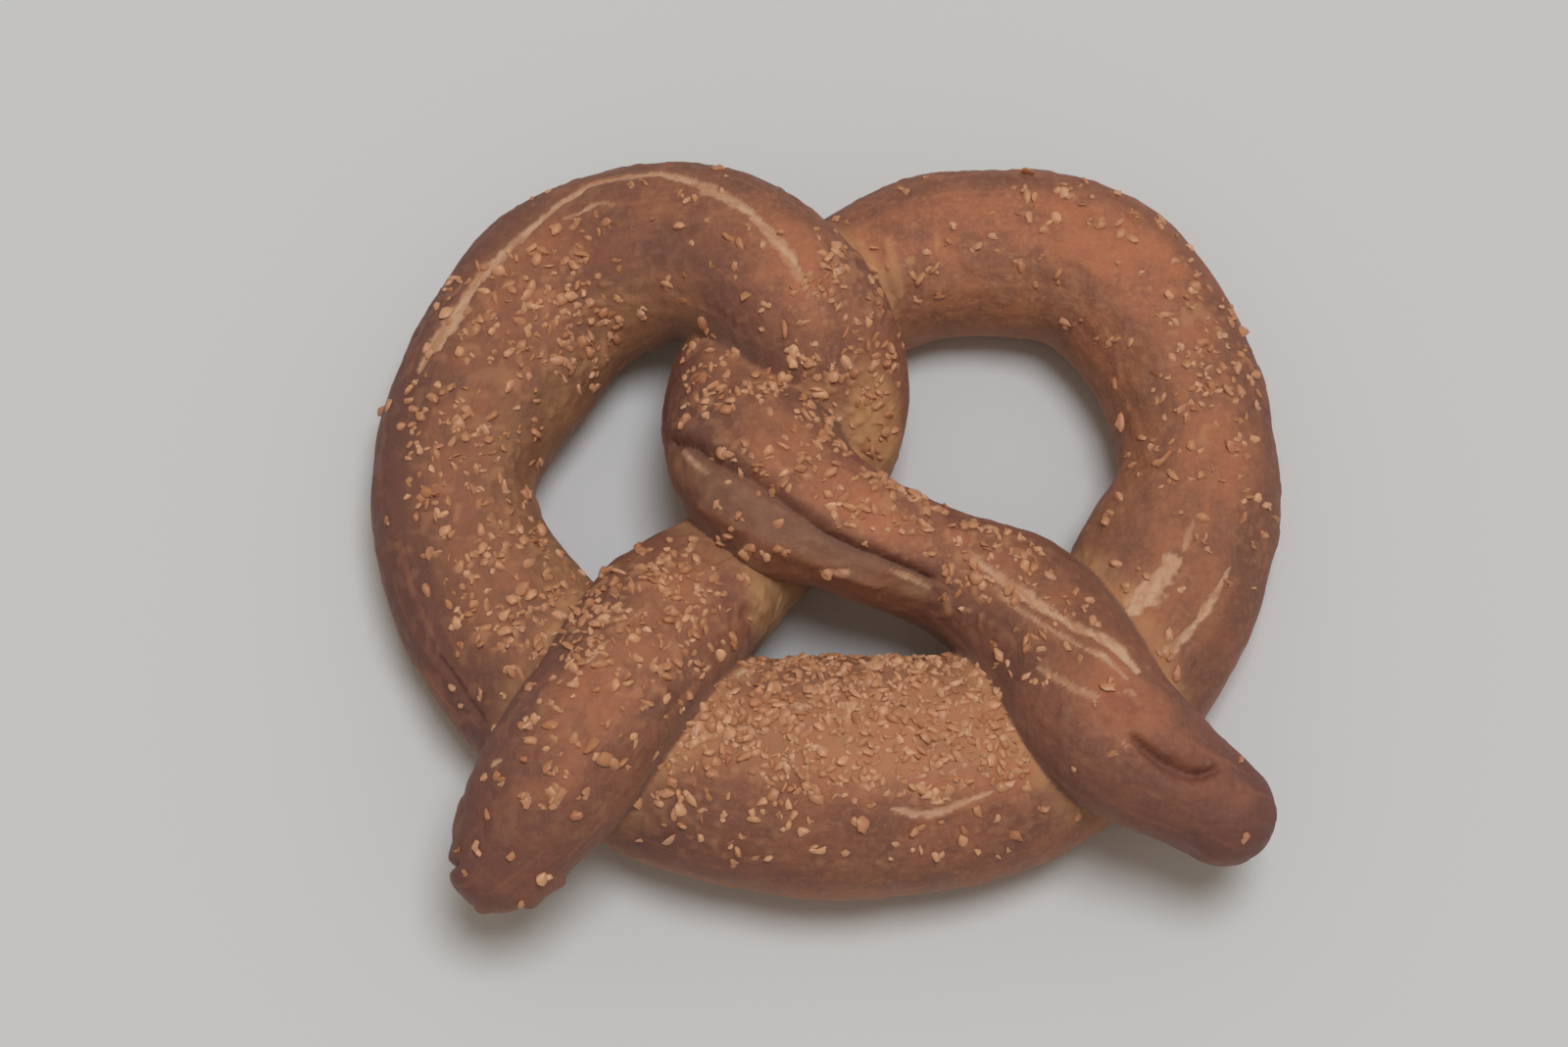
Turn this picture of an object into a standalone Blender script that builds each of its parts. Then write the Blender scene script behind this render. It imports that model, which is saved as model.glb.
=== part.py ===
"""A soft pretzel: one rope of dough, looped, twisted once and pressed down on itself.

Frame: metres, +Z up. +X runs from the left loop to the right one, and +Y from the belly to the
twist. The origin is on the tray, under the middle of the pretzel. The dough is one solid, because
its crossings bake together, and it is flat underneath, where it lay on the tray.
"""

import math

import bmesh
import bpy
import numpy as np
from mathutils import Vector

MM = 0.001

# The rope of dough from its left tip to its right one. Each knot is, in millimetres,
# (x, y, lift, width, height): where the rope's middle is in plan, how far the rope is held up by the
# rope that it crosses, and the size of its section there.
LEFT_ARM = [
    (-51, -56.5, 12, 16.5, 18),
    (-48.5, -53, 13.5, 20, 20),
    (-35, -33.5, 16.5, 25.5, 22),
    (-25, -18, 10.5, 27, 22),
]
LEFT_TWIST = [
    (-14.5, -5, 2.5, 22, 21),
    (-5, 9, 0, 23.5, 21),
    (0.5, 20.5, 6, 26, 22),
    (-2, 30, 13, 26.5, 22),
]
LEFT_LOOP = [
    (-25, 48, 7, 30, 23.5),
    (-43.5, 43.5, 0, 32.5, 25),
    (-51, 33, 0, 32, 25),
    (-61, 7.5, 0, 26.5, 24),
    (-51, -17, 0, 32, 24),
]
BELLY = [
    (-22.5, -38.5, 0, 35, 29),
    (1, -41.5, 0, 38.5, 31),
    (36.5, -33.5, 0, 34, 26),
]
RIGHT_LOOP = [
    (47.5, -22, 0, 31.5, 24.5),
    (55, -7, 0, 31.5, 24.5),
    (60.5, 8.5, 0, 27, 24),
    (42, 48, 0, 28.5, 24),
    (15.5, 49.5, 0, 27, 23),
]
RIGHT_TWIST = [
    (-6, 35.5, 1.5, 24.5, 21),
    (-13.5, 26, 6, 23, 21),
    (-9, 5.5, 14, 28, 22),
]
RIGHT_ARM = [
    (4.5, -3.5, 14, 20.5, 21),
    (18.5, -8.5, 9.5, 19.5, 20.5),
    (28, -13, 8.5, 23.5, 21),
    (45.5, -38, 15, 24, 21.5),
    (61.5, -49, 13, 17, 18),
]
ROPE = LEFT_ARM + LEFT_TWIST + LEFT_LOOP + BELLY + RIGHT_LOOP + RIGHT_TWIST + RIGHT_ARM

SQUARENESS = 0.92  # the section's power: 1 is an ellipse, and less is fuller at the shoulders
FLATTENED = 1.4 * MM  # how much of the rope's underside the tray presses flat

# How finely the dough is made.
RING_PITCH = 3 * MM  # rings along the rope
SIDES = 24  # faces round the rope
TIP_RINGS = 4  # rings that round off each end
FUSE_VOXEL = 1 * MM  # the grid that makes the crossing ropes one body
SOFTEN_SHARE = 0.5  # how far each pass moves a point towards its neighbours
SOFTEN_ROUNDS = 4  # passes that round the creases where the ropes meet
KEPT_FACES = 0.068  # share of the fused body's faces that its form needs

# The room above the tray, larger than any pretzel.
ROOM_SIDE = 300 * MM
ROOM_HEIGHT = 100 * MM

CRUST_COLOUR = (0.33, 0.145, 0.06, 1)
CRUST_ROUGHNESS = 0.5


def along_rope():
    """(middle, width, height) of each ring, from one tip's middle to the other's, on a smooth curve."""
    knots = np.array(ROPE) * MM
    steps = np.linalg.norm(np.diff(knots[:, :2], axis=0), axis=1)
    reach = np.concatenate([[0], np.cumsum(steps)])
    slopes = np.gradient(knots, reach, axis=0)
    rings = []
    for place in np.linspace(0, reach[-1], round(reach[-1] / RING_PITCH)):
        knot = min(np.searchsorted(reach, place, side="right"), len(knots) - 1) - 1
        step = steps[knot]
        t = (place - reach[knot]) / step
        x, y, lift, width, height = (
            knots[knot] * (2 * t**3 - 3 * t**2 + 1)
            + slopes[knot] * step * (t**3 - 2 * t**2 + t)
            + knots[knot + 1] * (3 * t**2 - 2 * t**3)
            + slopes[knot + 1] * step * (t**3 - t**2)
        )
        middle = Vector((x, y, lift + height / 2 - FLATTENED))
        rings.append((middle, width, height))
    return rings


def tip(end, inner):
    """The rings that round off the rope beyond its end ring."""
    middle, width, height = end
    outward = (middle - inner[0]).normalized()
    rings = []
    for number in range(1, TIP_RINGS + 1):
        turn = math.pi / 2 * number / (TIP_RINGS + 1)
        share = math.cos(turn)
        rings.append((middle + outward * width / 2 * math.sin(turn), width * share, height * share))
    return rings


def squared(value):
    return math.copysign(abs(value) ** SQUARENESS, value)


def ring_points(middle, width, height, along):
    """A ring's points: its width is level and its height is square to the rope."""
    side = along.cross(Vector((0, 0, 1))).normalized()
    up = side.cross(along)
    points = []
    for number in range(SIDES):
        turn = 2 * math.pi * number / SIDES
        points.append(
            middle + side * width / 2 * squared(math.cos(turn)) + up * height / 2 * squared(math.sin(turn))
        )
    return points


def rope_mesh():
    """The rope's skin, lofted through its rings and closed at both ends."""
    rings = along_rope()
    rings = tip(rings[0], rings[1])[::-1] + rings + tip(rings[-1], rings[-2])
    mesh = bmesh.new()
    loops = []
    for number, (middle, width, height) in enumerate(rings):
        before = rings[max(number - 1, 0)][0]
        after = rings[min(number + 1, len(rings) - 1)][0]
        points = ring_points(middle, width, height, (after - before).normalized())
        loops.append([mesh.verts.new(point) for point in points])
    for loop, following in zip(loops, loops[1:]):
        for k in range(SIDES):
            n = (k + 1) % SIDES
            mesh.faces.new((loop[k], loop[n], following[n], following[k]))
    mesh.faces.new(loops[0])
    mesh.faces.new(loops[-1])
    bmesh.ops.recalc_face_normals(mesh, faces=mesh.faces)
    skin = bpy.data.meshes.new("pretzel")
    mesh.to_mesh(skin)
    mesh.free()
    return skin


def crust():
    material = bpy.data.materials.new("crust")
    material.use_nodes = True
    shader = material.node_tree.nodes["Principled BSDF"]
    shader.inputs["Base Color"].default_value = CRUST_COLOUR
    shader.inputs["Roughness"].default_value = CRUST_ROUGHNESS
    shader.inputs["Metallic"].default_value = 0
    return material


def room_above_tray(cutters):
    """The guide that the dough is kept inside, so that it ends flat on the tray."""
    mesh = bmesh.new()
    bmesh.ops.create_cube(mesh, size=1)
    bmesh.ops.scale(mesh, verts=mesh.verts, vec=(ROOM_SIDE, ROOM_SIDE, ROOM_HEIGHT))
    bmesh.ops.translate(mesh, verts=mesh.verts, vec=(0, 0, ROOM_HEIGHT / 2))
    walls = bpy.data.meshes.new("above_tray")
    mesh.to_mesh(walls)
    mesh.free()
    room = bpy.data.objects.new("above_tray", walls)
    room.hide_render = True
    room.display_type = "WIRE"
    cutters.objects.link(room)
    return room


def pretzel(parts, room):
    """The dough: the rope's crossings fused and softened, thinned to few faces, then cut flat."""
    dough = bpy.data.objects.new("pretzel", rope_mesh())
    parts.objects.link(dough)
    dough.data.materials.append(crust())
    fuse = dough.modifiers.new("fuse", "REMESH")
    fuse.mode = "VOXEL"
    fuse.voxel_size = FUSE_VOXEL
    fuse.use_smooth_shade = True
    soften = dough.modifiers.new("soften", "SMOOTH")
    soften.factor = SOFTEN_SHARE
    soften.iterations = SOFTEN_ROUNDS
    thin = dough.modifiers.new("thin", "DECIMATE")
    thin.ratio = KEPT_FACES
    flat = dough.modifiers.new("flat", "BOOLEAN")
    flat.operation = "INTERSECT"
    flat.object = room


def main():
    for leftover in list(bpy.data.objects):
        bpy.data.objects.remove(leftover)
    parts = bpy.data.collections.new("soft_pretzel")
    cutters = bpy.data.collections.new("cutters")
    for collection in (parts, cutters):
        bpy.context.scene.collection.children.link(collection)
    pretzel(parts, room_above_tray(cutters))


main()
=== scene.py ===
"""The looks of a soft pretzel: its browned crust, with the tears and folds of the dough, and the salt on it.

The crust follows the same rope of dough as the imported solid, finely enough to carry real relief, and stands
for that solid. Places, widths and depths are in millimetres in the lists below and in metres after them, in
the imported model's own frame: +X to the right loop, +Y to the twist, +Z up, and the tray at zero.
"""

import math

import bmesh
import bpy
import numpy as np
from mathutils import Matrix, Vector
from mathutils.bvhtree import BVHTree


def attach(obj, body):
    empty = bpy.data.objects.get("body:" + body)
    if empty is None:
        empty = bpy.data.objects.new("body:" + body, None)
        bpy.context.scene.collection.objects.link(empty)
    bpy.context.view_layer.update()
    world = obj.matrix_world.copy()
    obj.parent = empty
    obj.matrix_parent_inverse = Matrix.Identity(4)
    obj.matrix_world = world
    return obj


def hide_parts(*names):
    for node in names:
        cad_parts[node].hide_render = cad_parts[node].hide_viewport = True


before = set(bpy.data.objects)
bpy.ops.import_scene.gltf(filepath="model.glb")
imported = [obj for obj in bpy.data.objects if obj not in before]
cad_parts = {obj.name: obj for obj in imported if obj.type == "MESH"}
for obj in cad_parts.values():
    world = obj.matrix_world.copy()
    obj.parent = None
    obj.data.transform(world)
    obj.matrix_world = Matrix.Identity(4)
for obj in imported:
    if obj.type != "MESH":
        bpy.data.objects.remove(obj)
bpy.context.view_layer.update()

MM = 0.001

# The rope of dough from its left tip to its right one: (x, y, lift, width, height). Lift is how far the rope
# that it crosses holds it up.
LEFT_ARM = [
    (-51, -56.5, 12, 16.5, 18),
    (-48.5, -53, 13.5, 20, 20),
    (-35, -33.5, 16.5, 25.5, 22),
    (-25, -18, 10.5, 27, 22),
]
LEFT_TWIST = [
    (-14.5, -5, 2.5, 22, 21),
    (-5, 9, 0, 23.5, 21),
    (0.5, 20.5, 6, 26, 22),
    (-2, 30, 13, 26.5, 22),
]
LEFT_LOOP = [
    (-25, 48, 7, 30, 23.5),
    (-43.5, 43.5, 0, 32.5, 25),
    (-51, 33, 0, 32, 25),
    (-61, 7.5, 0, 26.5, 24),
    (-51, -17, 0, 32, 24),
]
BELLY = [
    (-22.5, -38.5, 0, 35, 29),
    (1, -41.5, 0, 38.5, 31),
    (36.5, -33.5, 0, 34, 26),
]
RIGHT_LOOP = [
    (47.5, -22, 0, 31.5, 24.5),
    (55, -7, 0, 31.5, 24.5),
    (60.5, 8.5, 0, 27, 24),
    (42, 48, 0, 28.5, 24),
    (15.5, 49.5, 0, 27, 23),
]
RIGHT_TWIST = [
    (-6, 35.5, 1.5, 24.5, 21),
    (-13.5, 26, 6, 23, 21),
    (-9, 5.5, 14, 28, 22),
]
RIGHT_ARM = [
    (4.5, -3.5, 14, 20.5, 21),
    (18.5, -8.5, 9.5, 19.5, 20.5),
    (28, -13, 8.5, 23.5, 21),
    (45.5, -38, 15, 24, 21.5),
    (61.5, -49, 13, 17, 18),
]
STRANDS = {
    "left arm": LEFT_ARM,
    "left twist": LEFT_TWIST,
    "left loop": LEFT_LOOP,
    "belly": BELLY,
    "right loop": RIGHT_LOOP,
    "right twist": RIGHT_TWIST,
    "right arm": RIGHT_ARM,
}
ROPE = sum(STRANDS.values(), [])

SHOULDERS = 0.92  # the section's power: 1 is an ellipse, and less is fuller at the shoulders
FLATTENED = 1.4 * MM  # how much of the rope's underside the tray presses flat

# How finely the crust is made.
RING_PITCH = 1 * MM  # rings along the rope
SIDES = 96  # faces round the rope
TIP_RINGS = 12  # rings that round off each end
VOXEL = 0.48 * MM  # the grid that makes the crossing ropes one body
SOFTEN_ROUNDS = 5  # passes that round the creases where the ropes meet
OWN_STRETCH = 25 * MM  # rope nearer than this, measured along it, isn't another stretch of rope
BATCH = 3000  # how many points are placed on the rope at a time, which saves memory
NOISE_CELLS = 64  # how many bumps wide the noise is before it repeats

# How lines and patches lie on the crust.
LINE_PITCH = 0.4 * MM  # places along a line
LINE_REACH = 12 * MM  # points further off than this don't feel a line
LINE_TAPER = 1.5 * MM  # how soon a line has its full width
STRAND_BLEND = 5 * MM  # how far a patch runs on into the next strand
PATCH_EDGE = (1.4, 0.7)  # a patch is nothing and all of itself at these shares of its reach
TRAY_SOFTNESS = 0.6 * MM  # relief that would go lower than this is squeezed in above the tray

# Tears in the crust, where the pale dough shows: points on the crust as (x, y, z, width).
TEARS = [
    # along the left loop's outer shoulder, to where it goes over the right rope
    [
        (-66.5, 24.5, 20.5, 0.8),
        (-63.5, 30, 21, 2.6),
        (-60.5, 34.5, 21.5, 3.0),
        (-58.5, 38.5, 21.5, 1.7),
        (-56.5, 42, 21.5, 2.5),
        (-52.5, 46, 22, 1.6),
        (-46.5, 52, 22.5, 1.4),
        (-40.5, 56.5, 22.5, 1.4),
        (-33, 58, 24.5, 1.1),
        (-24.5, 57, 27, 1.6),
        (-18, 52.5, 30, 1.8),
        (-12.5, 48, 32.5, 1.3),
        (-7.5, 41, 34.5, 1.8),
        (-4, 35, 35, 1.2),
        (-3, 32, 35, 0.4),
    ],
    [(-44, 51, 23.5, 0.4), (-41, 51.5, 24, 0.8), (-37, 53, 25.5, 0.9), (-34, 52, 26.5, 0.4)],
    # on the right loop, beside the arm
    [(47.5, -17.5, 23, 2.0), (50.5, -14, 23, 3.5), (54, -10, 23, 3.7), (56.5, -7.5, 23, 1.8)],
    [(56.5, -7, 23, 1.0), (58.5, -1.5, 23, 0.9), (59.5, 1, 22.5, 0.4)],
    [(53, -24, 22.5, 1.5), (56.5, -20.5, 22, 1.2), (60.5, -15, 21.5, 1.1), (64, -8.5, 21, 0.4)],
    # along the right arm
    [
        (21.5, -8, 28, 0.7),
        (26.5, -12.5, 28, 1.2),
        (32, -17, 29.5, 1.8),
        (39, -22.5, 32, 1.5),
        (45, -26, 32.5, 1.6),
        (48.5, -31, 33.5, 1.0),
    ],
    [
        (25, -13.5, 28, 0.5),
        (31, -19.5, 30, 0.9),
        (38, -25, 32.5, 0.8),
        (44.5, -29.5, 34, 0.9),
        (47, -32.5, 34.5, 0.5),
    ],
    [(45, -33.5, 34.5, 0.5), (48, -34.5, 34.5, 0.7)],
    [(32, -28.5, 31.5, 0.7), (38, -33, 34, 1.1), (42.5, -35.5, 35, 0.7)],
    [(-24, 9.5, 27, 0.8), (-21.5, 6, 30, 1.0), (-18.5, 3, 31.5, 0.5)],
    [(9.5, -12, 29.5, 0.4), (13, -13, 28, 0.8), (17, -14.5, 26.5, 0.6)],
    [(-0.5, -11.5, 28.5, 1.6), (4, -12, 29.5, 1.2)],
    [(44.5, -41, 34.5, 0.5), (46.5, -43, 34, 0.7)],
    # on the belly
    [(9.5, -50.5, 27.5, 1.0), (15.5, -51, 26.5, 1.3), (22.5, -48.5, 26, 1.0), (25.5, -47, 25.5, 0.6)],
    [(-15, -28.5, 25.5, 1.3), (-11, -26, 23, 1.1)],
    [(-22.5, -39.5, 28, 1.6), (-16, -38, 28.5, 1.4), (-11, -38, 28.5, 1.0)],
    # along the left arm
    [(-28.5, -19.5, 33, 0.5), (-31, -22, 34.5, 0.8), (-33, -24, 35, 0.6)],
    [(-34, -25.5, 35.5, 0.5), (-35.5, -27.5, 36, 0.8), (-38, -30.5, 36.5, 0.6)],
    [(-24.5, -13.5, 30, 0.9), (-26, -16, 31.5, 0.9)],
    [(-50, -44.5, 34.5, 0.5), (-52.5, -45.5, 33, 1.1)],
]

# The seam that winds down the right arm: points on the crust as (x, y, z, width).
SEAM = [
    (-24.5, 11.5, 24, 1.2),
    (-21.5, 9, 29.5, 1.8),
    (-17.5, 5, 32.5, 2.2),
    (-12.5, 2, 34, 2.2),
    (-5.5, -3.5, 34, 1.9),
    (1.5, -8, 32.5, 1.6),
    (8.5, -10.5, 31, 1.4),
    (17.5, -13.5, 27.5, 0.8),
]
SEAM_STRETCH = 60 * MM  # rope further than this from the seam's middle, measured along it, is another strand

# The fold under the curl at the right tip, as points on the crust.
CURL = [
    (46, -40.5, 34.5, 0.8),
    (50, -44, 33.5, 1.8),
    (54, -46, 32.5, 2.2),
    (57, -46.5, 32, 1.7),
    (61, -44.5, 30.5, 0.8),
]

# Folds in the dough, with painted shade inside: points on the crust as (x, y, z, width), and how deep the
# fold goes, which also sets how dark that painted shade is.
FOLDS = [
    (SEAM, 1.0),
    (CURL, 2.2),
    # beside the curl
    ([(42, -34.5, 35, 1.6), (45, -36, 35, 2.4), (48, -36.5, 34.5, 1.4)], 0.8),
    ([(41, -38, 34.5, 1.2), (44, -39.5, 35, 1.8)], 0.7),
    # the left tip's notch and curl
    ([(-58.5, -57.3, 11, 1.4), (-58.4, -57.8, 19, 1.7), (-56.5, -58.3, 25, 1.0)], 1.4),
    ([(-51, -49, 33.5, 0.6), (-53.2, -52, 31.5, 0.9), (-53.5, -56.5, 30, 0.7)], 0.3),
    # the left loop's lower edge
    ([(-62.5, -22.5, 18.5, 0.8), (-59.5, -27, 19, 1.3), (-57, -31, 19, 1.3), (-53.5, -35, 19, 0.8)], 0.7),
    # small ones on the belly
    ([(-15.5, -36.5, 28, 1.0), (-12, -37, 28.5, 0.9)], 0.7),
    ([(13, -40.3, 28.5, 0.6), (15.5, -41, 28.5, 0.8), (18, -41, 28, 0.6)], 0.4),
]

# Rounded ridges of dough, each with a painted highlight on its crown: points on the crust as (x, y, z,
# width), and how far the ridge rises.
RIDGES = [
    # above the curl at the right tip, and round its end
    ([(45.5, -39, 35, 2.0), (49, -40.3, 35, 4.0), (53, -42, 35, 4.0), (57, -43.5, 33, 2.4)], 0.9),
    ([(50, -47.5, 33, 1.5), (55, -49.5, 32, 2.5), (60, -48.5, 31, 2.0)], 0.3),
    # the left tip's blunt corners
    ([(-43, -57, 22, 3), (-44.5, -61, 22, 5), (-48, -64, 20, 4)], 1.3),
    ([(-55, -62.5, 20, 3), (-52, -64, 20, 3)], 0.7),
    ([(-59, -54, 22, 2), (-58.5, -51, 24, 3), (-57, -47, 24, 2)], 0.6),
    # the right loop's top
    ([(32, 64, 12, 4), (36, 65, 12, 5), (39, 64, 12, 4)], 0.9),
    # the left arm's shoulder, where it goes under the right one
    ([(-15, -8, 27, 7), (-11.5, -12.5, 26, 10), (-12.5, -18, 25, 8)], 1.3),
    # below the seam
    (
        [
            (-19, 1, 27, 1.6),
            (-13, -3.5, 29, 2.6),
            (-6, -8.5, 30, 2.6),
            (2, -12.5, 29, 2.2),
            (9, -14.5, 27, 1.6),
        ],
        0.5,
    ),
    # outside the left loop's fold
    ([(-65.5, -23.5, 15, 1.4), (-62, -29.5, 15, 2.2), (-58.5, -34.5, 15, 1.6)], 0.5),
]

# Broad places where the next rope kept the crust pale, with painted light on those where y is below 0:
# (strand, x, y, reach along x, reach along y).
PALE_SHOULDERS = [
    ("left arm", -8, -13.5, 5, 8),
    ("left twist", -8, -13.5, 5, 8),
    ("left twist", 7.5, 14, 4.5, 9),
]

# Broad places that the oven browned more: (strand, x, y, reach along x, reach along y, how much).
BROWNER = [
    ("right loop", 52, -9, 15, 18, 0.62),
    ("right loop", 63, 16, 12, 22, 0.34),
    ("right arm", 29, -19, 18, 14, 0.62),
    ("right twist", -10, 11, 14, 14, 0.46),
]

# The sides that face the two large holes, which get less painted shade and are golden: (strand, x and y of
# the hole, reach along x, reach along y, how golden they are).
INNER_SIDES = [
    ("left loop", -37, 9, 27, 28, 0.45),
    ("right loop", 30, 18, 31, 28, 0.15),
]

# The tips, which browned most: how far they reach along the rope, and how dark they are.
LEFT_TIP = (35 * MM, 0.62)
RIGHT_TIP = (44 * MM, 0.85)

# Stretch marks where the left rope presses on the right one: points on the crust as (x, y, z, width).
STRETCH_MARKS = [
    [(5, 49, 20.5, 1.6), (7.5, 44, 20.5, 2.4), (9, 40, 20, 2.4), (11, 37, 17.5, 1.6)],
    [(10, 49, 21, 1.4), (11, 43, 20.5, 1.8), (12.5, 39, 18.5, 1.4)],
    [(14, 46, 21, 1.6), (13.5, 43, 20.5, 1.8)],
    [(18, 50, 21.5, 1.4), (18, 46, 21, 1.6)],
]

# Where the salt lies on each strand: (x, y, reach along x, reach along y, clumps of grains to the square
# centimetre).
SALTED = {
    "left arm": [(-29, -21, 12, 13, 40), (-40, -38, 12, 14, 8)],
    "left twist": [(4, 26, 9, 18, 26), (-16, 46, 8, 10, 5)],
    "left loop": [
        (-49, -12, 9, 12, 40),
        (-57, 12, 10, 18, 18),
        (-47, 36, 15, 12, 22),
        (-24, 49, 12, 10, 6),
    ],
    "belly": [(4, -35.3, 30, 11.6, 102), (-14, -50, 15, 8, 15), (10, -53, 30, 8, 5)],
    "right loop": [(62, 26, 8, 16, 26), (60, 8, 9, 12, 12), (52, -8, 8, 12, 4), (42, 50, 16, 9, 5)],
    "right twist": [(-13, 24, 10, 12, 30), (-6, 7, 12, 9, 28), (-8, -3, 14, 7, 16)],
    "right arm": [(10, -4, 10, 7, 30), (24, -12, 9, 8, 24), (33, -22, 9, 9, 12)],
}
SALT_EVERYWHERE = 1.0  # clumps to the square centimetre outside those places
SQUARE_CM = 1e4  # square centimetres to the square metre

# The grains, which lie in small clumps.
SALT_SEED = 7
SALT_CLOSEST = 1.0 * MM  # how near to each other two clumps may lie
SOWN = 1.3  # clumps sown for each one wanted, as some fall too near another
CLUMP_GRAINS = (1, 2, 3)
CLUMP_SHARES = (0.5, 0.35, 0.15)  # the share of the clumps that has so many grains
SMALLEST_GRAIN = 1.35 * MM
LARGEST_GRAIN = 3.0 * MM
LUMP_SIZE = (1, 1.2)  # how long the first grains of LUMPS are, as a share of that
COARSE_GRAIN = 1.9 * MM  # grains longer than this have finer facets
MOSTLY = 1.7  # the power that makes most grains short, and most of those off the belly browned
BREADTH = (0.55, 0.9)  # of a grain, as a share of its length
THICKNESS = (0.45, 0.75)  # likewise
TILTED = 0.25  # how crookedly grains lie
BESIDE = 0.55  # how far the others in a clump lie from its place, as a share of their length
SMALLER = (0.55, 0.8)  # how long each grain is as a share of the one before it in its clump
RAISED = 0.05  # how far a grain's middle is above the crust, as a share of half its thickness
GRAIN_SHAPES = 30  # different shapes to draw from
GRAIN_CUTS = 7  # planes that cut each shape
FACET_ANGLE = math.radians(45)  # edges sharper than this stay crisp

# The salt on the belly, which is less browned: how far it lies to either side, and how far up.
BELLY_SIDE = 28 * MM
BELLY_TOP = -24 * MM

# Where the largest clumps lie: points on the crust.
LUMPS = [
    (43, -33, 34.5),
    (50, 48, 22),
    (-7, 27.5, 33.5),
    (-5.5, 24, 32),
    (2.5, 8.5, 31),
    (9.5, 14.5, 21.5),
    (37.5, 51.5, 22),
    (33.5, 61, 18.5),
    (33, 55.5, 21.5),
    (60.5, 29.5, 22),
    (54.5, 9.5, 21.5),
    (48, 18.5, 15.5),
    (0, -11.5, 28),
    (-34.5, -45, 35.5),
    (-41.5, -50.5, 35),
    (-36.5, -43, 36.5),
    (-44.5, -61, 26),
    (-43, -40, 37),
    (-48.5, -12.5, 22),
    (4, 21.5, 29),
    (7.5, 24.5, 28.5),
    (-20, 31.5, 26),
    (-73.5, 22, 12),
]


def smooth_path(knots, pitch, places=2):
    """A smooth curve through the knots. Their first few values are places, and the curve's points lie an even
    pitch apart in those. The other values go along with them."""
    knots = np.array(knots, float)
    steps = np.linalg.norm(np.diff(knots[:, :places], axis=0), axis=1)
    reach = np.concatenate([[0], np.cumsum(steps)])
    slopes = np.gradient(knots, reach, axis=0)
    along = np.linspace(0, reach[-1], max(round(reach[-1] / pitch), 3))
    knot = np.clip(np.searchsorted(reach, along, side="right"), 1, len(knots) - 1) - 1
    step = steps[knot][:, None]
    t = (along[:, None] - reach[knot][:, None]) / step
    return (
        knots[knot] * (2 * t**3 - 3 * t**2 + 1)
        + slopes[knot] * step * (t**3 - 2 * t**2 + t)
        + knots[knot + 1] * (3 * t**2 - 2 * t**3)
        + slopes[knot + 1] * step * (t**3 - t**2)
    )


def lengths(points):
    """How far along a line of points each point lies."""
    return np.concatenate([[0], np.cumsum(np.linalg.norm(np.diff(points, axis=0), axis=1))])


def unit(vectors):
    return vectors / np.maximum(np.linalg.norm(vectors, axis=-1, keepdims=True), 1e-12)


def smoothstep(low, high, value):
    """0 up to low, 1 from high on, and a soft step between them. Low may be the larger one."""
    t = np.clip((value - low) / (high - low), 0, 1)
    return t * t * (3 - 2 * t)


def noise(points, size, seed):
    """Smooth noise from -1 to 1, with bumps about as wide as size."""
    lattice = np.random.default_rng(seed).uniform(-1, 1, (NOISE_CELLS, NOISE_CELLS, NOISE_CELLS))
    place = points / size
    low = np.floor(place).astype(int)
    t = place - low
    t = t * t * (3 - 2 * t)
    total = np.zeros(len(points))
    for corner in np.ndindex(2, 2, 2):
        weight = np.prod(np.where(corner, t, 1 - t), axis=1)
        x, y, z = ((low + corner) % NOISE_CELLS).T
        total += weight * lattice[x, y, z]
    return total


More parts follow.
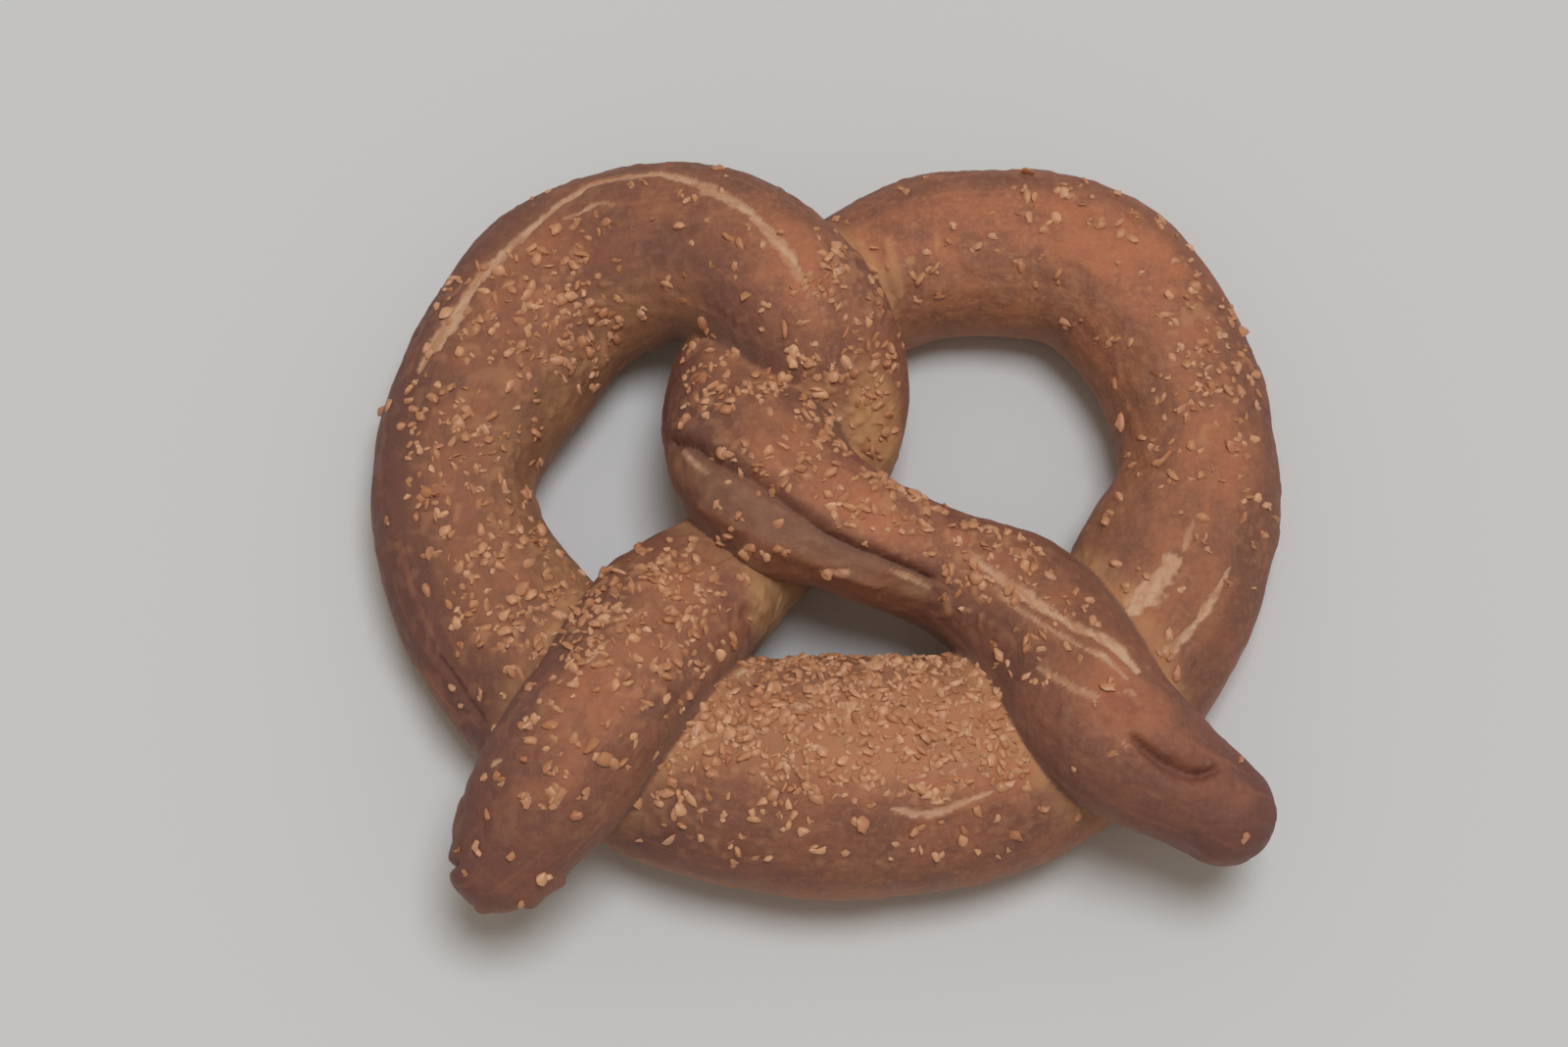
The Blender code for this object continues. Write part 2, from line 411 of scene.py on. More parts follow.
class Rope:
    """The rope's rings: their middles, their widths and heights, the directions along, across and up, how far
    along the rope they lie, and where one strand gives way to the next."""

    def __init__(self):
        x, y, lift, width, height = smooth_path(np.array(ROPE) * MM, RING_PITCH).T
        middle = np.stack([x, y, lift + height / 2 - FLATTENED], axis=1)
        starts = self.tip(middle[0], middle[1], width[0], height[0])
        ends = self.tip(middle[-1], middle[-2], width[-1], height[-1])
        starts = [values[::-1] for values in starts]
        self.middle, self.width, self.height = (
            np.concatenate(parts) for parts in zip(starts, (middle, width, height), ends)
        )
        self.along = unit(np.gradient(self.middle, axis=0))
        self.across = unit(np.cross(self.along, (0, 0, 1)))
        self.up = np.cross(self.across, self.along)
        self.reach = lengths(self.middle)
        chords = lengths(np.array(ROPE)[:, :2])
        last = np.cumsum([len(knots) for knots in STRANDS.values()])[:-1] - 1
        joins = TIP_RINGS + (chords[last] + chords[last + 1]) / 2 / chords[-1] * (len(x) - 1)
        joins = np.interp(joins, np.arange(len(self.reach)), self.reach)
        self.joins = np.concatenate([[-1], joins, [self.reach[-1] + 1]])

    def tip(self, end, inner, width, height):
        """The rings that round off the rope beyond its end ring."""
        outward = unit(end - inner)
        turn = math.pi / 2 * np.arange(1, TIP_RINGS + 1) / (TIP_RINGS + 1)
        middle = end + outward * (width / 2 * np.sin(turn))[:, None]
        return middle, width * np.cos(turn), height * np.cos(turn)

    def strand(self, name):
        """How far along the rope a strand starts and ends."""
        number = list(STRANDS).index(name)
        return self.joins[number], self.joins[number + 1]

    def tube(self):
        """The points and faces of a tube through the rings, closed at both ends."""
        turn = 2 * math.pi * np.arange(SIDES) / SIDES
        cos, sin = np.cos(turn), np.sin(turn)
        sideways = np.sign(cos) * np.abs(cos) ** SHOULDERS
        upwards = np.sign(sin) * np.abs(sin) ** SHOULDERS
        points = (
            self.middle[:, None, :]
            + self.across[:, None, :] * (self.width[:, None, None] / 2) * sideways[None, :, None]
            + self.up[:, None, :] * (self.height[:, None, None] / 2) * upwards[None, :, None]
        )
        rings = len(self.middle)
        number = np.arange(rings * SIDES).reshape(rings, SIDES)
        following = np.roll(number, -1, axis=1)
        quads = np.stack([number[:-1], following[:-1], following[1:], number[1:]], axis=-1)
        caps = [number[0].tolist()[::-1], number[-1].tolist()]
        return points.reshape(-1, 3), quads.reshape(-1, 4).tolist() + caps

    def place(self, points):
        """For each point of the crust: the ring it lies on, its turn round it, the gap to any other stretch
        of rope, and whether that stretch lies higher."""
        starts = range(0, len(points), BATCH)
        batches = [self.place_batch(points[start : start + BATCH]) for start in starts]
        return [np.concatenate(values) for values in zip(*batches)]

    def place_batch(self, points):
        radius = (self.width + self.height) / 4
        offset = points[:, None, :] - self.middle[None, :, :]
        ahead = np.abs(np.einsum("prk,rk->pr", offset, self.along))
        x = np.einsum("prk,rk->pr", offset, self.across) / (self.width / 2)
        y = np.einsum("prk,rk->pr", offset, self.up) / (self.height / 2)
        outside = np.hypot(x, y) - 1
        off = np.maximum(ahead - RING_PITCH, 0)
        own = np.argmin(np.abs(outside) * radius + off, axis=1)
        rows = np.arange(len(points))
        turn = np.arctan2(y[rows, own], x[rows, own])
        gap = np.maximum(outside, 0) * radius + 2 * off
        gap[np.abs(self.reach[None, :] - self.reach[own][:, None]) < OWN_STRETCH] = 1
        other = np.argmin(gap, axis=1)
        under = (self.middle[other, 2] > self.middle[own, 2]).astype(float)
        return own, turn, gap[rows, other], under


def mesh_object(name, points, faces):
    mesh = bpy.data.meshes.new(name)
    mesh.from_pydata(np.asarray(points).tolist(), [], faces)
    mesh.update()
    piece = bpy.data.objects.new(name, mesh)
    bpy.context.scene.collection.objects.link(piece)
    return piece


def vectors_of(items, name):
    """A vector of each of a mesh's vertices, as rows."""
    values = np.zeros(len(items) * 3, np.float32)
    items.foreach_get(name, values)
    return values.reshape(-1, 3).astype(float)


def add_values(mesh, name, values):
    """Stores a number for each of a mesh's vertices, for its material."""
    layer = mesh.attributes.new(name, "FLOAT", "POINT")
    layer.data.foreach_set("value", values.astype(np.float32))


def fused(rope):
    """The crust before its relief: the rope's crossings made one body, with soft creases."""
    piece = mesh_object("crust", *rope.tube())
    fuse = piece.modifiers.new("fuse", "REMESH")
    fuse.mode = "VOXEL"
    fuse.voxel_size = VOXEL
    soften = piece.modifiers.new("soften", "SMOOTH")
    soften.factor = 0.5
    soften.iterations = SOFTEN_ROUNDS
    evaluated = piece.evaluated_get(bpy.context.evaluated_depsgraph_get())
    body = bpy.data.meshes.new_from_object(evaluated)
    piece.modifiers.clear()
    piece.data = body
    return piece


class Skin:
    """The crust's points before their relief, and what is worked out for each of them: how far along the rope
    it lies and how near another stretch of rope is, how far its relief moves it out, how many clumps of salt
    lie there to the square centimetre, and the masks that say how it looks, from 0 to 1."""

    def __init__(self, mesh, rope):
        self.rope = rope
        self.points = vectors_of(mesh.vertices, "co")
        self.normals = vectors_of(mesh.vertex_normals, "vector")
        faces = [tuple(face.vertices) for face in mesh.polygons]
        self.surface = BVHTree.FromPolygons(self.points.tolist(), faces)
        ring, turn, self.gap, self.under = rope.place(self.points)
        self.reach = rope.reach[ring]
        self.end = np.minimum(self.reach, rope.reach[-1] - self.reach)
        radius = (rope.width[ring] + rope.height[ring]) / 4
        self.wound = np.stack([self.reach, turn * radius, np.zeros(len(ring))], axis=1)
        self.out = np.zeros(len(ring))
        self.masks = {}
        self.salt = np.full(len(ring), SALT_EVERYWHERE)
        for strand, patches in SALTED.items():
            for *place, clumps in patches:
                self.salt = np.maximum(self.salt, clumps * self.patch(strand, *place))

    def lay(self, name, near, values):
        """Raises a mask to these values at some of the points."""
        mask = self.masks.setdefault(name, np.zeros(len(self.points)))
        mask[near] = np.maximum(mask[near], values)

    def patch(self, strand, x, y, reach_x, reach_y):
        """A soft oval patch on one strand: 1 in its middle, and 0 outside it and on the other strands."""
        first, last = self.rope.strand(strand)
        after = smoothstep(-STRAND_BLEND, STRAND_BLEND, self.reach - first)
        before = smoothstep(-STRAND_BLEND, STRAND_BLEND, last - self.reach)
        away = np.hypot((self.points[:, 0] / MM - x) / reach_x, (self.points[:, 1] / MM - y) / reach_y)
        return after * before * smoothstep(*PATCH_EDGE, away)


class Line:
    """A line on the crust, and for each of the crust's points near it: how far off the line is and on which
    side, how wide it is there, and how nearly it has its full width, which it loses towards its ends."""

    def __init__(self, knots, skin):
        path = smooth_path(np.array(knots) * MM, LINE_PITCH, places=3)
        width = path[:, 3]
        path = np.array([skin.surface.find_nearest(Vector(point))[0] for point in path[:, :3]])
        low, high = path.min(axis=0) - LINE_REACH, path.max(axis=0) + LINE_REACH
        self.near = np.nonzero(((skin.points > low) & (skin.points < high)).all(axis=1))[0]
        offset = skin.points[self.near][:, None, :] - path[None, :, :]
        distance = np.linalg.norm(offset, axis=2)
        closest = np.argmin(distance, axis=1)
        rows = np.arange(len(self.near))
        self.distance = distance[rows, closest]
        self.width = width[closest]
        along = unit(np.gradient(path, axis=0))[closest]
        over = np.cross(along, offset[rows, closest])
        self.side = np.sign(np.einsum("pk,pk->p", over, skin.normals[self.near]))
        ends = np.minimum(closest, len(path) - 1 - closest) * LINE_PITCH
        self.taper = smoothstep(-LINE_PITCH / 2, LINE_TAPER, ends)

    def inside(self, ragged):
        """0 on the line and 1 at its edge, which is as ragged as these values make it."""
        return self.distance / (self.width / 2 * self.taper * ragged[self.near] + 1e-6)

    def swell(self, share):
        """1 on the line, and falling off softly over this share of its width."""
        return np.exp(-((self.distance / (self.width * share)) ** 2)) * self.taper


def lay_salt_masks(skin):
    """What the salt does to the crust: it is golden where much salt lies, and flecks of fine salt are baked
    into it."""
    upward = smoothstep(0.1, 0.6, skin.normals[:, 2])
    patchy = np.clip(0.75 + noise(skin.points, 7 * MM, 14), 0.2, 1)
    fleck = smoothstep(0.12, 0.5, noise(skin.points, 1.35 * MM, 7))
    skin.masks["golden"] = np.clip(skin.salt / 85, 0, 1) ** 2 * upward
    skin.masks["flecks"] = np.clip(skin.salt / 24, 0.35, 1) * upward * patchy * fleck


def add_unevenness(skin):
    """The dough's own unevenness, the drawn skin that runs along the rope, its blisters and its flecks."""
    points, out = skin.points, skin.out
    upward = smoothstep(0.2, 0.8, skin.normals[:, 2])
    out += 0.45 * MM * noise(points, 14 * MM, 1)
    out += 0.24 * MM * noise(points, 6 * MM, 2)
    out += 0.10 * MM * noise(skin.wound / np.array([8, 1.6, 1]), 1 * MM, 3)
    out += 0.07 * MM * noise(points, 1.7 * MM, 4)
    out += 0.2 * MM * smoothstep(0.4, 0.8, noise(points, 2.6 * MM, 5))
    out += 0.13 * MM * upward * smoothstep(0.15, 0.7, noise(points, 1.25 * MM, 11))
    out += 0.36 * MM * skin.masks["flecks"]
    out += 0.035 * MM * noise(points, 0.9 * MM, 12)


def lay_oven_masks(skin):
    """How the crust is coloured: the tips browned most and broad places are darker; a painted highlight lies
    on the crest and painted shade on the flanks and where the rope lies on another one; and the undersides,
    inner sides and places near another rope that passes over them are paler, the undersides partly by painted
    fill light, and one shoulder has painted light."""
    points, normals = skin.points, skin.normals
    rise = normals[:, 2]
    right_arm = smoothstep(-8 * MM, 8 * MM, skin.reach - skin.rope.strand("right arm")[0])
    left_arm = smoothstep(-8 * MM, 8 * MM, skin.rope.strand("left arm")[1] - skin.reach)
    tip, darkest = (np.where(points[:, 0] < 0, *values) for values in zip(LEFT_TIP, RIGHT_TIP))
    dark = smoothstep(tip, 6 * MM, skin.end) * darkest
    # Painted shade on a rope's sloping sides near where it lies on another one.
    contact = smoothstep(7 * MM, 1 * MM, skin.gap) * (1 - skin.under) * smoothstep(0.85, 0.3, rise)

    # Painted highlight: the crest, a little to the right of the rope's top and towards the lamp, is ruddier.
    # Painted shade: the sides away from it are darker, those that face left most, though less on the right
    # arm and on the undersides.
    tilt = np.hypot(normals[:, 0] - 0.10, normals[:, 1] - 0.05) + 0.12 * noise(points, 5 * MM, 13)
    crest = smoothstep(0.48, 0.16, tilt) * (rise > 0)
    leftward = smoothstep(0.1, 0.8, -0.95 * normals[:, 0] - 0.2 * normals[:, 1])
    leftward *= 1 - 0.5 * right_arm
    browned = 0.40 * smoothstep(0.22, 0.55, tilt) + 0.38 * leftward
    browned *= 1 - 0.75 * smoothstep(0.35, -0.15, rise)

    # Darker towards the left, fading out near the tips, less near the top and on the left arm, and in the
    # broad places of BROWNER.
    hotter = smoothstep(12 * MM, -45 * MM, points[:, 0]) * smoothstep(4 * MM, 50 * MM, skin.end)
    hotter *= 1 - 0.45 * smoothstep(22 * MM, 42 * MM, points[:, 1])
    hotter *= 1 - 0.4 * left_arm
    for *place, amount in BROWNER:
        hotter = np.maximum(hotter, amount * skin.patch(*place))

    # The rope that passes under another one stayed pale beside it, apart from the right twist.
    shelter = 0.75 * smoothstep(5.5 * MM, 1 * MM, skin.gap) * skin.under
    first, last = skin.rope.strand("right twist")
    shelter *= 1 - 0.75 * ((skin.reach > first) & (skin.reach < last))
    shoulders = np.max([skin.patch(*shoulder) for shoulder in PALE_SHOULDERS], axis=0)
    shelter = np.maximum(shelter, shoulders)
    for *place, gold in INNER_SIDES:
        to_hole = unit(np.array(place[1:3]) * MM - points[:, :2])
        facing = smoothstep(0.1, 0.6, (normals[:, :2] * to_hole).sum(axis=1))
        inner = facing * skin.patch(*place)
        browned *= 1 - 0.75 * inner
        shelter = np.maximum(shelter, gold * inner)
    shelter *= np.clip(0.8 + 0.6 * noise(points, 6 * MM, 6), 0, 1)

    # Paler undersides: partly the dough's own paler underside, partly painted fill light on the surfaces that
    # face down.
    lower = smoothstep(0.4, -0.25, rise)
    # Painted light on the left arm's shoulder, where it goes under the right one, against the shade there.
    lit = shoulders * (points[:, 1] < 0)
    skin.masks.update(dark=dark, contact=contact, crest=crest, browned=browned, hotter=hotter)
    skin.masks.update(shelter=shelter, lower=lower, lit=lit)


def add_tears(skin, ragged):
    """The tears: shallow floors of pale dough between low lips, with a lighter halo round them."""
    for knots in TEARS:
        line = Line(knots, skin)
        near = line.near
        floor = smoothstep(1.25, 0.9, line.inside(ragged))
        speckle = 0.5 * noise(skin.points[near], 2.2 * MM, 10)
        skin.lay("pale", near, floor * np.clip(0.5 + line.width / (2.6 * MM) + speckle, 0, 1))
        beyond = line.distance - line.width / 2
        skin.lay("halo", near, 0.2 * smoothstep(3 * MM, 0.5 * MM, beyond) * line.taper)
        lip = np.exp(-(((line.distance - line.width * 0.8) / (0.5 * MM)) ** 2)) * line.taper
        skin.out[near] += 0.16 * MM * lip - 0.2 * MM * floor * np.minimum(line.width / (1.2 * MM), 1.5)


def add_folds(skin):
    """The folds, with painted shade inside them, and the ridges, with a painted highlight on their crowns."""
    for knots, depth in FOLDS:
        line = Line(knots, skin)
        skin.out[line.near] -= depth * MM * line.swell(0.55)
        # painted shade inside the fold
        skin.lay("dark", line.near, line.swell(0.9) * min(depth * 0.65, 1))
    for knots, rise in RIDGES:
        line = Line(knots, skin)
        crown = line.swell(0.55)
        skin.out[line.near] += rise * MM * crown
        # painted highlight on the ridge's crown
        skin.lay("halo", line.near, crown * 0.4)


def add_seam(skin):
    """What the seam has beside its fold: the dough above it laps over the dough below it, which lies lower
    and is bare and dull, and painted shade darkens the crust along the fold."""
    line = Line(SEAM, skin)
    near = line.near
    reach = skin.reach[near]
    full = line.taper * (np.abs(reach - np.median(reach)) < SEAM_STRETCH)
    below = (line.side < 0) * smoothstep(6 * MM, 0.5 * MM, line.distance) * full
    above = (line.side > 0) * np.exp(-(((line.distance - 2.2 * MM) / (1.6 * MM)) ** 2)) * full
    skin.out[near] += 0.5 * MM * above - 0.6 * MM * below
    # painted shade along the fold
    skin.lay("dark", near, 0.6 * smoothstep(2.4 * MM, 0.3 * MM, line.distance) * full)
    skin.lay("bare", near, (line.side < 0) * smoothstep(10 * MM, 3 * MM, line.distance) * full)


def add_stretch_marks(skin, ragged):
    for knots in STRETCH_MARKS:
        line = Line(knots, skin)
        mark = smoothstep(1.3, 0.4, line.inside(ragged))
        skin.lay("stretch", line.near, mark)
        skin.out[line.near] += 0.12 * MM * mark


def crust_piece():
    """The crust with its relief and the masks for its material, and the skin that it was made from."""
    rope = Rope()
    piece = fused(rope)
    mesh = piece.data
    skin = Skin(mesh, rope)
    lay_salt_masks(skin)
    add_unevenness(skin)
    lay_oven_masks(skin)
    ragged = 1 + 0.45 * noise(skin.points, 2.5 * MM, 8) + 0.45 * noise(skin.points, 1.1 * MM, 9)
    add_tears(skin, ragged)
    add_folds(skin)
    add_seam(skin)
    add_stretch_marks(skin, ragged)
    skin.salt *= 1 - 0.8 * skin.masks["bare"]

    points = skin.points + skin.normals * skin.out[:, None]
    low = points[:, 2] / TRAY_SOFTNESS
    points[:, 2] = TRAY_SOFTNESS * np.where(low < 1, np.exp(np.minimum(low - 1, 0)), low)
    mesh.vertices.foreach_set("co", points.astype(np.float32).ravel())
    for name, values in skin.masks.items():
        add_values(mesh, name, values)
    layer = mesh.attributes.new("wound", "FLOAT_VECTOR", "POINT")
    layer.data.foreach_set("vector", skin.wound.astype(np.float32).ravel())
    mesh.update()
    mesh.shade_smooth()
    return piece, skin


# Materials

# The crust's browns, from the darkest.
DEEP = (0.165, 0.067, 0.059, 1)
TOASTED = (0.17, 0.082, 0.050, 1)
BROWN = (0.335, 0.132, 0.073, 1)
DUSK = (0.27, 0.160, 0.125, 1)
UMBER = (0.365, 0.195, 0.108, 1)
ORANGE = (0.47, 0.172, 0.085, 1)
LOWER = (0.46, 0.24, 0.155, 1)
GLOW = (0.56, 0.225, 0.110, 1)
RUDDY = (0.64, 0.212, 0.110, 1)
TAN = (0.58, 0.275, 0.140, 1)
YELLOW = (0.68, 0.355, 0.158, 1)
STRAW = (0.76, 0.47, 0.225, 1)
CREAM = (0.735, 0.47, 0.305, 1)

# Salt that browned with the crust, and salt that lies bare on it.
GLAZED_SALT = (0.55, 0.240, 0.118, 1)
BARE_SALT = (0.77, 0.408, 0.235, 1)

MIX_SHARE, MIX_FIRST, MIX_SECOND, MIX_RESULT = 0, 6, 7, 2  # a Mix node's sockets for colours


def new_material(name):
    material = bpy.data.materials.new(name)
    material.use_nodes = True
    return material, material.node_tree, material.node_tree.nodes["Principled BSDF"]


class Graph:
    """Short ways to make the nodes of one material."""

    def __init__(self, tree):
        self.tree = tree

    def node(self, kind, **settings):
        made = self.tree.nodes.new(kind)
        for name, value in settings.items():
            setattr(made, name, value)
        return made

    def feed(self, socket, value):
        """Gives a socket a number or a colour of its own, or another node's output."""
        if isinstance(value, (tuple, float, int)):
            socket.default_value = value
        else:
            self.tree.links.new(value, socket)

    def mask(self, name, output="Fac"):
        """What the piece's mesh stores for each of its points under this name."""
        return self.node("ShaderNodeAttribute", attribute_name=name).outputs[output]

    def mottle(self, where, size, detail, rough):
        texture = self.node("ShaderNodeTexNoise")
        texture.inputs["Scale"].default_value = 1 / size
        texture.inputs["Detail"].default_value = detail
        texture.inputs["Roughness"].default_value = rough
        self.feed(texture.inputs["Vector"], where)
        return texture.outputs["Fac"]

    def ramp(self, value, low, high, to_low=0, to_high=1):
        """A soft step from one number, where the value is low, to another, where it is high."""
        remap = self.node("ShaderNodeMapRange", interpolation_type="SMOOTHSTEP")
        self.feed(remap.inputs["Value"], value)
        names = ("From Min", "From Max", "To Min", "To Max")
        for name, number in zip(names, (low, high, to_low, to_high)):
            remap.inputs[name].default_value = number
        return remap.outputs["Result"]

    def times(self, *values):
        total = values[0]
        for value in values[1:]:
            product = self.node("ShaderNodeMath", operation="MULTIPLY")
            self.feed(product.inputs[0], total)
            self.feed(product.inputs[1], value)
            total = product.outputs[0]
        return total

    def mixed(self, share, first, second):
        """The first colour with this share of the second one over it."""
        mix = self.node("ShaderNodeMix", data_type="RGBA")
        self.feed(mix.inputs[MIX_SHARE], share)
        self.feed(mix.inputs[MIX_FIRST], first)
        self.feed(mix.inputs[MIX_SECOND], second)
        return mix.outputs[MIX_RESULT]

    def layered(self, colour, *layers):
        """A colour with others laid over it, each given as the share that it covers and what it is."""
        for share, over in layers:
            colour = self.mixed(share, colour, over)
        return colour


def crust_material():
    material, tree, shader = new_material("crust")
    graph = Graph(tree)
    mask, ramp, times = graph.mask, graph.ramp, graph.times
    where = graph.node("ShaderNodeTexCoord").outputs["Object"]

    def mottle(size, detail=3, rough=0.55):
        return graph.mottle(where, size, detail, rough)

    # The drawn skin's streaks, which are stretched along the rope.
    drawn = graph.node("ShaderNodeVectorMath", operation="MULTIPLY")
    drawn.inputs[1].default_value = (1 / 8, 1, 1)
    graph.feed(drawn.inputs[0], mask("wound", "Vector"))
    streaks = graph.mottle(drawn.outputs["Vector"], 1.7 * MM, 3, 0.6)

    # Round spots, of which only some show.
    cells = graph.node("ShaderNodeTexVoronoi", feature="F1")
    cells.inputs["Scale"].default_value = 1 / (1.7 * MM)
    graph.feed(cells.inputs["Vector"], where)
    spots = times(ramp(cells.outputs["Distance"], 0.42, 0.2), ramp(cells.outputs["Color"], 0.45, 0.75))

    torn = graph.layered(
        CREAM,
        (times(ramp(streaks, 0.42, 0.62), 0.75), TAN),
        (times(ramp(mottle(1.2 * MM, 3), 0.5, 0.62), 0.35), GLOW),
    )
    colour = graph.layered(
        BROWN,
        # the crust's own mottling, from broad to fine
        (ramp(mottle(13 * MM, 4), 0.40, 0.60), ORANGE),
        (times(ramp(mottle(4.5 * MM, 5, 0.65), 0.42, 0.70), 0.45), DEEP),
        (times(ramp(streaks, 0.52, 0.72), 0.5), GLOW),
        (times(ramp(mottle(3 * MM, 3), 0.5, 0.68), 0.3), TAN),
        (times(spots, 0.5), TAN),
        (times(ramp(mottle(0.9 * MM, 2), 0.52, 0.66), 0.4), TAN),
        (times(ramp(mottle(0.7 * MM, 2), 0.46, 0.36), 0.2), DEEP),
        # what the oven, the salt and the next rope did to it, with a painted highlight on the crest and
        # ridges, painted shade on the flanks, where ropes meet and in the folds, and painted light partly on
        # the undersides and on one shoulder
        (times(mask("crest"), ramp(mottle(6 * MM, 4), 0.35, 0.6), 0.38), RUDDY),
        (times(mask("golden"), 0.68), TAN),
        (times(mask("hotter"), 0.56), TOASTED),
        (mask("browned"), DEEP),
        (times(mask("lower"), 0.6), LOWER),
        (times(mask("flecks"), 0.6), TAN),
        (times(mask("halo"), 0.6), GLOW),
        (times(mask("shelter"), ramp(mottle(5 * MM, 4), 0.3, 0.6, 0.6, 1), 0.8), YELLOW),
        (times(mask("lit"), ramp(mottle(3 * MM, 4), 0.3, 0.6, 0.5, 1), 0.7), STRAW),
        (times(mask("bare"), ramp(mottle(3 * MM, 4), 0.35, 0.65, 0.4, 1), 0.6), UMBER),
        (times(mask("stretch"), 0.5), YELLOW),
        (times(mask("contact"), 0.82), DUSK),
        (times(mask("dark"), 0.8), DEEP),
        # a last painted highlight on the crest, orange streaks over all of it, and the tears
        (times(mask("crest"), ramp(mottle(4 * MM, 4), 0.38, 0.62), 0.2), RUDDY),
        (times(ramp(streaks, 0.52, 0.68), 0.22), ORANGE),
        (times(mask("pale"), 0.92), torn),
    )
    graph.feed(shader.inputs["Base Color"], colour)
    graph.feed(shader.inputs["Roughness"], ramp(mottle(3 * MM), 0.3, 0.7, 0.5, 0.72))
    shader.inputs["Specular IOR Level"].default_value = 0.35

    pores = graph.node("ShaderNodeBump")
    pores.inputs["Strength"].default_value = 1
    pores.inputs["Distance"].default_value = 0.22 * MM
    graph.feed(pores.inputs["Height"], mottle(0.7 * MM, 5, 0.7))
    graph.feed(shader.inputs["Normal"], pores.outputs["Normal"])
    return material


def salt_material():
    material, tree, shader = new_material("salt")
    graph = Graph(tree)
    graph.feed(shader.inputs["Base Color"], graph.mixed(graph.mask("tint"), GLAZED_SALT, BARE_SALT))
    shader.inputs["Roughness"].default_value = 0.45
    shader.inputs["Subsurface Weight"].default_value = 0.25
    shader.inputs["Subsurface Radius"].default_value = (0.003, 0.002, 0.001)
    shader.inputs["Subsurface Scale"].default_value = 0.5
    return material


# Salt


def grain_shapes(random, subdivisions):
    """Rough lumps about as long as 2, each a ball cut back by planes, and their faces."""
    ball = bmesh.new()
    bmesh.ops.create_icosphere(ball, subdivisions=subdivisions, radius=1)
    smooth = np.array([vert.co for vert in ball.verts])
    ball.verts.index_update()
    faces = np.array([[vert.index for vert in face.verts] for face in ball.faces])
    ball.free()
    shapes = []
    for _ in range(GRAIN_SHAPES):
        points = smooth * (1 + 0.13 * random.normal(size=(len(smooth), 1)))
        for normal in unit(random.normal(size=(GRAIN_CUTS, 3))):
            beyond = np.maximum(points @ normal - random.uniform(0.55, 0.9), 0)
            points = points - beyond[:, None] * normal
        shapes.append(points / np.abs(points).max())
    return shapes, faces


def salt_places(crust, skin, random):
    """Where clumps of salt fall: points and normals on the crust, the largest clumps first."""
    mesh = crust.data
    mesh.calc_loop_triangles()
    triangles = np.zeros(len(mesh.loop_triangles) * 3, np.int32)
    mesh.loop_triangles.foreach_get("vertices", triangles)
    triangles = triangles.reshape(-1, 3)
    points = vectors_of(mesh.vertices, "co")
    normals = vectors_of(mesh.vertex_normals, "vector")
    surface = BVHTree.FromPolygons(points.tolist(), triangles.tolist())
    found = []
    for lump in LUMPS:
        place, normal, *_ = surface.find_nearest(Vector(lump) * MM)
        found.append((np.array(place), np.array(normal)))

    def over(values):
        return values[triangles].mean(axis=1)

    corners = points[triangles]
    centre = corners.mean(axis=1)
    sides = np.cross(corners[:, 1] - corners[:, 0], corners[:, 2] - corners[:, 0])
    area = np.linalg.norm(sides, axis=1) / 2
    density = over(skin.salt)
    density *= smoothstep(0.2, 0.75, over(normals)[:, 2])
    density *= 1 - 0.8 * smoothstep(0.3, 0.9, over(skin.masks["dark"]))
    density *= 1 - 0.7 * over(skin.masks["pale"])
    density *= np.clip(1 + 1.3 * noise(centre, 4.5 * MM, 21), 0.05, 2.2)
    chance = area * SQUARE_CM * density
    sown = int(chance.sum() * SOWN)
    for triangle in random.choice(len(centre), size=sown, p=chance / chance.sum()):
        share = random.dirichlet((1, 1, 1))
        found.append((share @ corners[triangle], unit(share @ normals[triangles[triangle]])))
    return found


def spaced(found):
    """Those of the places that aren't too near one before them."""
    kept = []
    cells = {}
    for place, normal in found:
        cell = tuple(np.floor(place / SALT_CLOSEST).astype(int))
        around = [cells.get(tuple(np.add(cell, step) - 1), ()) for step in np.ndindex(3, 3, 3)]
        if all(np.linalg.norm(place - other) > SALT_CLOSEST for others in around for other in others):
            cells.setdefault(cell, []).append(place)
            kept.append((place, normal))
    return kept


def salt_piece(crust, skin):
    """The salt: clumps of one grain or a few, the first on the clump's place and each other one beside it."""
    random = np.random.default_rng(SALT_SEED)
    fine = grain_shapes(random, 2)
    rough = grain_shapes(random, 1)
    points, faces, tints = [], [], []
    used = 0
    for clump, (place, normal) in enumerate(spaced(salt_places(crust, skin, random))):
        length = SMALLEST_GRAIN + (LARGEST_GRAIN - SMALLEST_GRAIN) * random.random() ** MOSTLY
        if clump < len(LUMPS):
            length = LARGEST_GRAIN * random.uniform(*LUMP_SIZE)
        on_belly = abs(place[0]) < BELLY_SIDE and place[1] < BELLY_TOP
        tint = random.random() ** (1 if on_belly else MOSTLY)
        for grain in range(random.choice(CLUMP_GRAINS, p=CLUMP_SHARES)):
            shapes, shape_faces = fine if length > COARSE_GRAIN else rough
            size = np.array([1, random.uniform(*BREADTH), random.uniform(*THICKNESS)]) * length / 2
            heading = unit(np.cross(normal, random.normal(size=3)))
            axes = np.stack([heading, np.cross(normal, heading), normal])
            axes = unit(axes + TILTED * random.normal(size=(3, 3)))
            centre = place + heading * (length * BESIDE if grain else 0) + normal * size[2] * RAISED
            shape = shapes[random.integers(len(shapes))]
            points.append((shape * size) @ axes + centre)
            faces.append(shape_faces + used)
            tints.append(np.full(len(shape), tint))
            used += len(shape)
            length *= random.uniform(*SMALLER)
    piece = mesh_object("salt", np.concatenate(points), np.concatenate(faces).tolist())
    add_values(piece.data, "tint", np.concatenate(tints))
    piece.data.shade_smooth()
    piece.data.set_sharp_from_angle(angle=FACET_ANGLE)
    return piece


# Studio, in metres

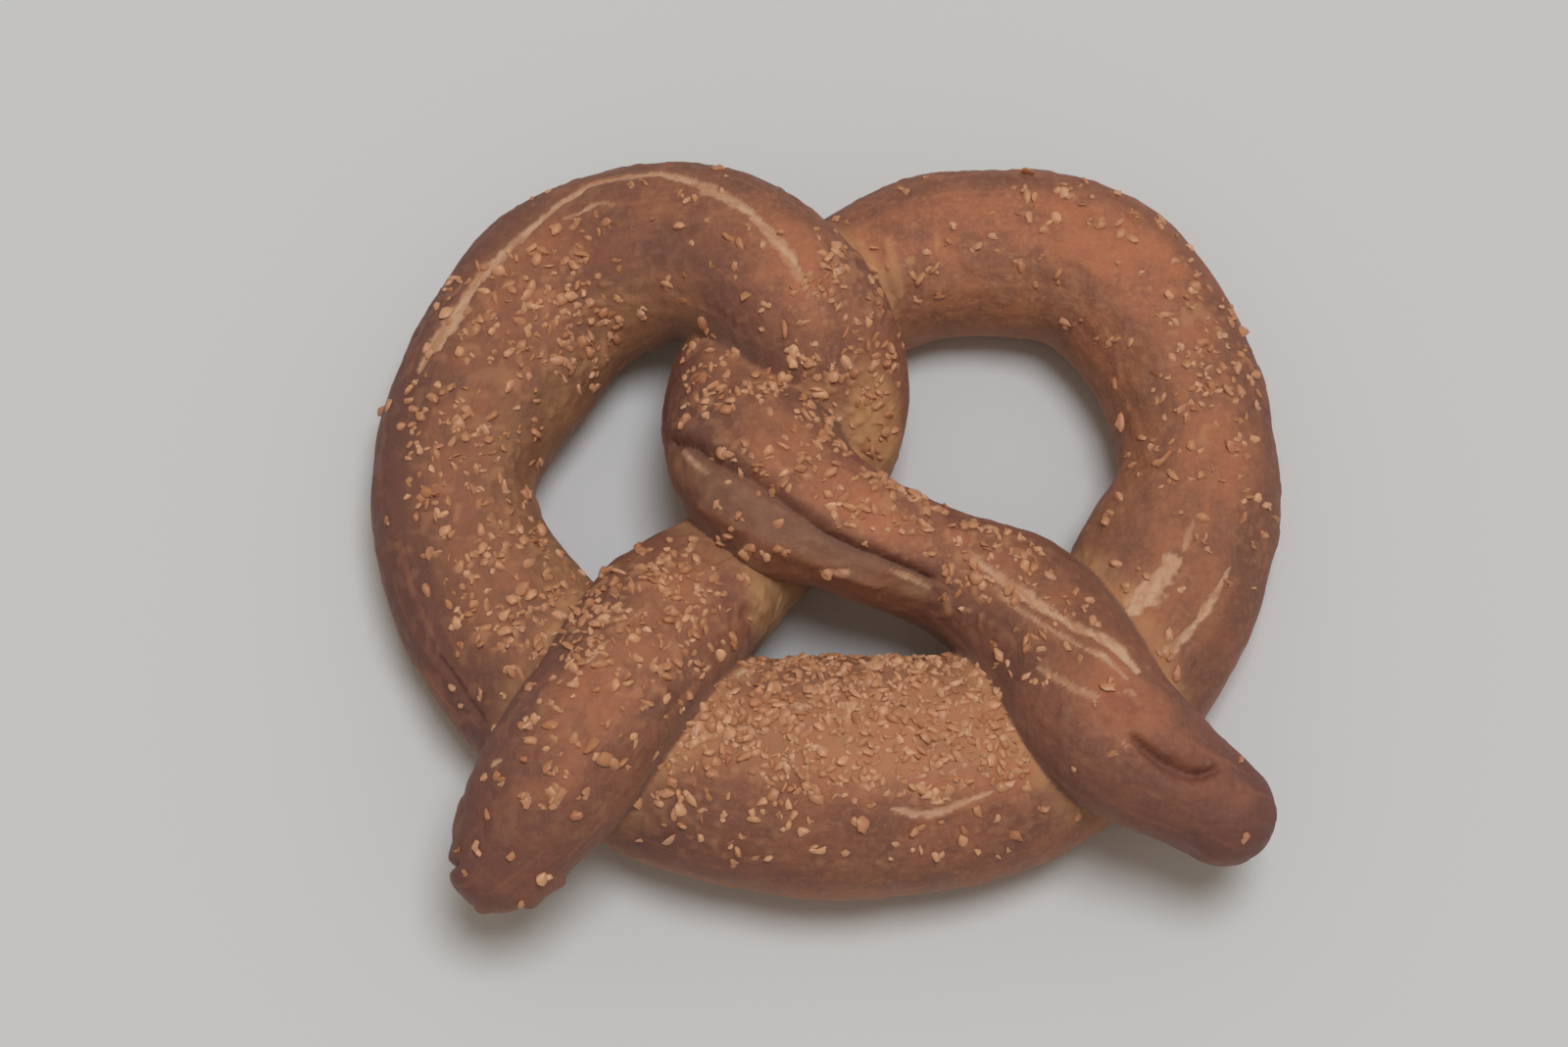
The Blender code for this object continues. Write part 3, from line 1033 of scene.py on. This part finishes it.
FLOOR_REACH = 3
FLOOR_DROP = 0.1 * MM  # keeps the floor clear of the pretzel's flat underside
PAPER = (0.71, 0.72, 0.735, 1)
SKY = (1, 0.87, 0.72, 1)
SKY_STRENGTH = 0.33
LAMP = (0.92, 0.97, 1)
LAMP_STRENGTH = 1.52
LAMP_SIZE = math.radians(26)
LAMP_FROM = (0.14, 0.08, 1)
CAMERA_ELEVATION = math.radians(70)
CAMERA_DISTANCE = 0.7208
CAMERA_AIM = (-0.007, 0.0065, 0)
CAMERA_LENS = 100  # in millimetres, as the sensor is
CAMERA_SENSOR = 36


def add_to_scene(name, data, back):
    """A lamp or a camera that looks away from the direction back."""
    made = bpy.data.objects.new(name, data)
    bpy.context.scene.collection.objects.link(made)
    made.rotation_mode = "QUATERNION"
    made.rotation_quaternion = back.to_track_quat("Z", "Y")
    return made


def studio():
    signs = [(-1, -1), (1, -1), (1, 1), (-1, 1)]
    corners = [(FLOOR_REACH * x, FLOOR_REACH * y, 0) for x, y in signs]
    floor = mesh_object("floor", corners, [(0, 1, 2, 3)])
    floor.location.z = -FLOOR_DROP
    paper, _, shader = new_material("paper")
    shader.inputs["Base Color"].default_value = PAPER
    shader.inputs["Roughness"].default_value = 0.9
    floor.data.materials.append(paper)

    world = bpy.data.worlds.new("studio")
    world.use_nodes = True
    sky = world.node_tree.nodes["Background"]
    sky.inputs["Color"].default_value = SKY
    sky.inputs["Strength"].default_value = SKY_STRENGTH
    bpy.context.scene.world = world
    bpy.context.scene.view_settings.view_transform = "Standard"

    lamp = bpy.data.lights.new("softbox", "SUN")
    lamp.angle = LAMP_SIZE
    lamp.energy = LAMP_STRENGTH
    lamp.color = LAMP
    add_to_scene("softbox", lamp, Vector(LAMP_FROM))

    lens = bpy.data.cameras.new("camera")
    lens.lens = CAMERA_LENS
    lens.sensor_width = CAMERA_SENSOR
    lens.clip_start = 0.01
    back = Vector((0, -math.cos(CAMERA_ELEVATION), math.sin(CAMERA_ELEVATION)))
    camera = add_to_scene("camera", lens, back)
    camera.location = Vector(CAMERA_AIM) + back * CAMERA_DISTANCE
    bpy.context.scene.camera = camera


studio()
crust, skin = crust_piece()
crust.data.materials.append(crust_material())
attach(crust, "root")
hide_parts("pretzel")
salt = salt_piece(crust, skin)
salt.data.materials.append(salt_material())
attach(salt, "root")
